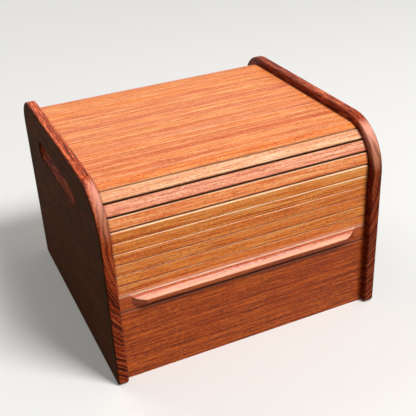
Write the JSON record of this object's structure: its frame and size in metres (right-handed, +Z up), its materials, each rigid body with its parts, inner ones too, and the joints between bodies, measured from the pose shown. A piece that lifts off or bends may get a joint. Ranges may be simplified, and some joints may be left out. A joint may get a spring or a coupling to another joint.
{
  "type": "tambour lid box",
  "caption": "Desk box for papers with two round-cornered side panels and a roll-up lid of wooden slats that slides up the front, over the top and down behind.",
  "frame": {"origin": "centre of the footprint, on the surface the box stands on", "axes": "+Z up, front of the box faces -Y, width along X"},
  "size_m": [0.34, 0.318, 0.24],
  "materials": {
    "teak_side": "oiled dark teak, soft sheen on the worked edges",
    "teak_rail": "oiled red-brown teak",
    "teak_slat": "oiled orange teak, fine straight grain",
    "teak_pale": "oiled paler teak, fine straight grain",
    "teak_bar": "oiled teak, polished by hands on the pull",
    "teak_board": "teak-faced board, flat oil finish",
    "beech": "plain turned dowel",
    "canvas": "unbleached cotton canvas",
    "brass": "plain brass, slightly dulled"
  },
  "bodies": {
    "case": {"left_side": "teak_side", "right_side": "teak_side", "front_rail": "teak_rail", "floor_board": "teak_board", "inner_back": "teak_board", "outer_back": "teak_board", "tail_batten": "teak_board", "rail_dowels": "beech", "inner_back_dowels": "beech", "back_screws": "brass"},
    "lid_front": {"handle_bar": "teak_bar", "slat_01": "teak_slat", "slat_02": "teak_slat", "canvas_backing": "canvas"},
    "slat_03_link": {"slat_03": "teak_slat"},
    "slat_04_link": {"slat_04": "teak_slat"},
    "slat_05_link": {"slat_05": "teak_slat"},
    "slat_06_link": {"slat_06": "teak_slat"},
    "slat_07_link": {"slat_07": "teak_slat"},
    "slat_08_link": {"slat_08": "teak_slat"},
    "slat_09_link": {"slat_09": "teak_pale"},
    "slat_10_link": {"slat_10": "teak_slat"},
    "lid_top": {"slat_11": "teak_slat", "slat_12": "teak_pale", "slat_13": "teak_slat", "slat_14": "teak_slat", "slat_15": "teak_slat", "slat_16": "teak_slat", "slat_17": "teak_pale", "slat_18": "teak_slat", "slat_19": "teak_slat", "slat_20": "teak_slat", "slat_21": "teak_slat", "slat_22": "teak_pale", "slat_23": "teak_slat"},
    "slat_24_link": {"slat_24": "teak_slat"},
    "slat_25_link": {"slat_25": "teak_slat"},
    "slat_26_link": {"slat_26": "teak_slat"},
    "slat_27_link": {"slat_27": "teak_pale"},
    "slat_28_link": {"slat_28": "teak_slat"},
    "slat_29_link": {"slat_29": "teak_slat"},
    "slat_30_link": {"slat_30": "teak_slat"}
  },
  "joints": [
    {"name": "lid_slide", "type": "slide", "parent": "case", "child": "lid_front", "axis": [0, 0, 1], "range_m": [0, 0.0528], "deforming": ["canvas_backing"]},
    {"name": "lid_top_slide", "type": "slide", "parent": "case", "child": "lid_top", "axis": [0, 1, 0], "range_m": [0, 0.0528]},
    {"name": "slat_03_turn", "type": "hinge", "parent": "case", "child": "slat_03_link", "pos_m": [0, 0.01817, 0.16465], "axis": [-1, 0, 0], "range_deg": [0, 18.53]},
    {"name": "slat_04_turn", "type": "hinge", "parent": "case", "child": "slat_04_link", "pos_m": [0, -0.06414, 0.17125], "axis": [-1, 0, 0], "range_deg": [0, 37.21]},
    {"name": "slat_05_turn", "type": "hinge", "parent": "case", "child": "slat_05_link", "pos_m": [0, -0.09096, 0.17785], "axis": [-1, 0, 0], "range_deg": [0, 55.88]},
    {"name": "slat_06_turn", "type": "hinge", "parent": "case", "child": "slat_06_link", "pos_m": [0, -0.10343, 0.18445], "axis": [-1, 0, 0], "range_deg": [0, 74.56]},
    {"name": "slat_07_turn", "type": "hinge", "parent": "case", "child": "slat_07_link", "pos_m": [0, -0.10236, 0.18291], "axis": [-1, 0, 0], "range_deg": [0, 71.47]},
    {"name": "slat_08_turn", "type": "hinge", "parent": "case", "child": "slat_08_link", "pos_m": [0, -0.09576, 0.1689], "axis": [-1, 0, 0], "range_deg": [0, 52.8]},
    {"name": "slat_09_turn", "type": "hinge", "parent": "case", "child": "slat_09_link", "pos_m": [0, -0.08916, 0.13776], "axis": [-1, 0, 0], "range_deg": [0, 34.12]},
    {"name": "slat_10_turn", "type": "hinge", "parent": "case", "child": "slat_10_link", "pos_m": [0, -0.08256, 0.03007], "axis": [-1, 0, 0], "range_deg": [0, 15.45]},
    {"name": "slat_24_turn", "type": "hinge", "parent": "case", "child": "slat_24_link", "pos_m": [0, 0.09319, 0.02014], "axis": [-1, 0, 0], "range_deg": [0, 14.7]},
    {"name": "slat_25_turn", "type": "hinge", "parent": "case", "child": "slat_25_link", "pos_m": [0, 0.09979, 0.15445], "axis": [-1, 0, 0], "range_deg": [0, 41.71]},
    {"name": "slat_26_turn", "type": "hinge", "parent": "case", "child": "slat_26_link", "pos_m": [0, 0.10639, 0.18294], "axis": [-1, 0, 0], "range_deg": [0, 68.72]},
    {"name": "slat_27_turn", "type": "hinge", "parent": "case", "child": "slat_27_link", "pos_m": [0, 0.11159, 0.19259], "axis": [-1, 0, 0], "range_deg": [0, 90]},
    {"name": "slat_28_turn", "type": "hinge", "parent": "case", "child": "slat_28_link", "pos_m": [0, 0.10563, 0.189], "axis": [-1, 0, 0], "range_deg": [0, 75.3]},
    {"name": "slat_29_turn", "type": "hinge", "parent": "case", "child": "slat_29_link", "pos_m": [0, 0.08343, 0.1824], "axis": [-1, 0, 0], "range_deg": [0, 48.29]},
    {"name": "slat_30_turn", "type": "hinge", "parent": "case", "child": "slat_30_link", "pos_m": [0, 0.00316, 0.1758], "axis": [-1, 0, 0], "range_deg": [0, 21.28]}
  ],
  "couplings": [
    {"joint": "lid_top_slide", "follows": "lid_slide", "ratio": 1},
    {"joint": "slat_03_turn", "follows": "lid_slide", "rad_per_m": 6.1261},
    {"joint": "slat_04_turn", "follows": "lid_slide", "rad_per_m": 12.299},
    {"joint": "slat_05_turn", "follows": "lid_slide", "rad_per_m": 18.472},
    {"joint": "slat_06_turn", "follows": "lid_slide", "rad_per_m": 24.645},
    {"joint": "slat_07_turn", "follows": "lid_slide", "rad_per_m": 23.624},
    {"joint": "slat_08_turn", "follows": "lid_slide", "rad_per_m": 17.451},
    {"joint": "slat_09_turn", "follows": "lid_slide", "rad_per_m": 11.278},
    {"joint": "slat_10_turn", "follows": "lid_slide", "rad_per_m": 5.1054},
    {"joint": "slat_24_turn", "follows": "lid_slide", "rad_per_m": 4.8582},
    {"joint": "slat_25_turn", "follows": "lid_slide", "rad_per_m": 13.787},
    {"joint": "slat_26_turn", "follows": "lid_slide", "rad_per_m": 22.715},
    {"joint": "slat_27_turn", "follows": "lid_slide", "rad_per_m": 29.75},
    {"joint": "slat_28_turn", "follows": "lid_slide", "rad_per_m": 24.892},
    {"joint": "slat_29_turn", "follows": "lid_slide", "rad_per_m": 15.963},
    {"joint": "slat_30_turn", "follows": "lid_slide", "rad_per_m": 7.0346}
  ]
}
